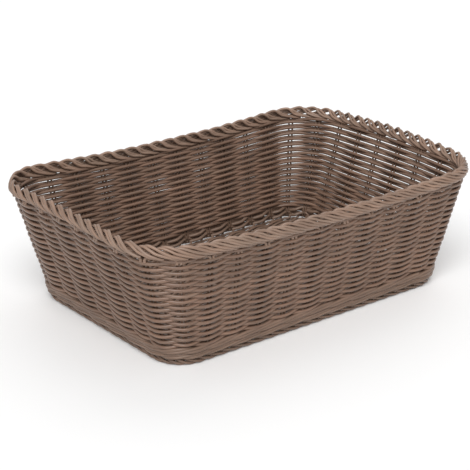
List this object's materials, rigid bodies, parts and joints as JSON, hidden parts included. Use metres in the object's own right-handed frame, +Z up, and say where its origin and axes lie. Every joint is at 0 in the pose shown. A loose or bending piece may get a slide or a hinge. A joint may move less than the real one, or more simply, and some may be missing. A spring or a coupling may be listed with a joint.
{
  "type": "bread basket",
  "caption": "Rectangular woven bread basket of plastic cord, with flared walls, rounded corners, a rolled rim and a plaited foot roll.",
  "frame": {"origin": "centre of the basket's footprint, on the surface it stands on", "axes": "+X along the basket's length, +Y along its width, +Z up"},
  "size_m": [0.4008, 0.2724, 0.1245],
  "materials": {
    "weaver_cord": "satin, lengthwise streaks, taupe brown",
    "rib_cord": "satin, taupe brown",
    "rim_cord": "satin, lengthwise streaks, light taupe",
    "foot_cord": "satin, lengthwise streaks, taupe brown",
    "base_cord": "satin, taupe brown"
  },
  "bodies": {
    "root": {"base_weave_lower": "base_cord", "base_ribs": "rib_cord", "base_weave_upper": "base_cord", "foot_roll": "foot_cord", "foot_wale_lower": "foot_cord", "foot_wale_upper": "foot_cord", "weave_row_01": "weaver_cord", "weave_row_02": "weaver_cord", "weave_row_03": "weaver_cord", "weave_row_04": "weaver_cord", "weave_row_05": "weaver_cord", "weave_row_06": "weaver_cord", "weave_row_07": "weaver_cord", "weave_row_08": "weaver_cord", "weave_row_09": "weaver_cord", "weave_row_10": "weaver_cord", "weave_row_11": "weaver_cord", "weave_row_12": "weaver_cord", "weave_row_13": "weaver_cord", "weave_row_14": "weaver_cord", "weave_row_15": "weaver_cord", "weave_row_16": "weaver_cord", "uprights_front": "rib_cord", "uprights_back": "rib_cord", "uprights_left": "rib_cord", "uprights_right": "rib_cord", "uprights_corners": "rib_cord", "rim_inner_roll": "rim_cord", "rim_outer_roll": "rim_cord"}
  },
  "joints": []
}
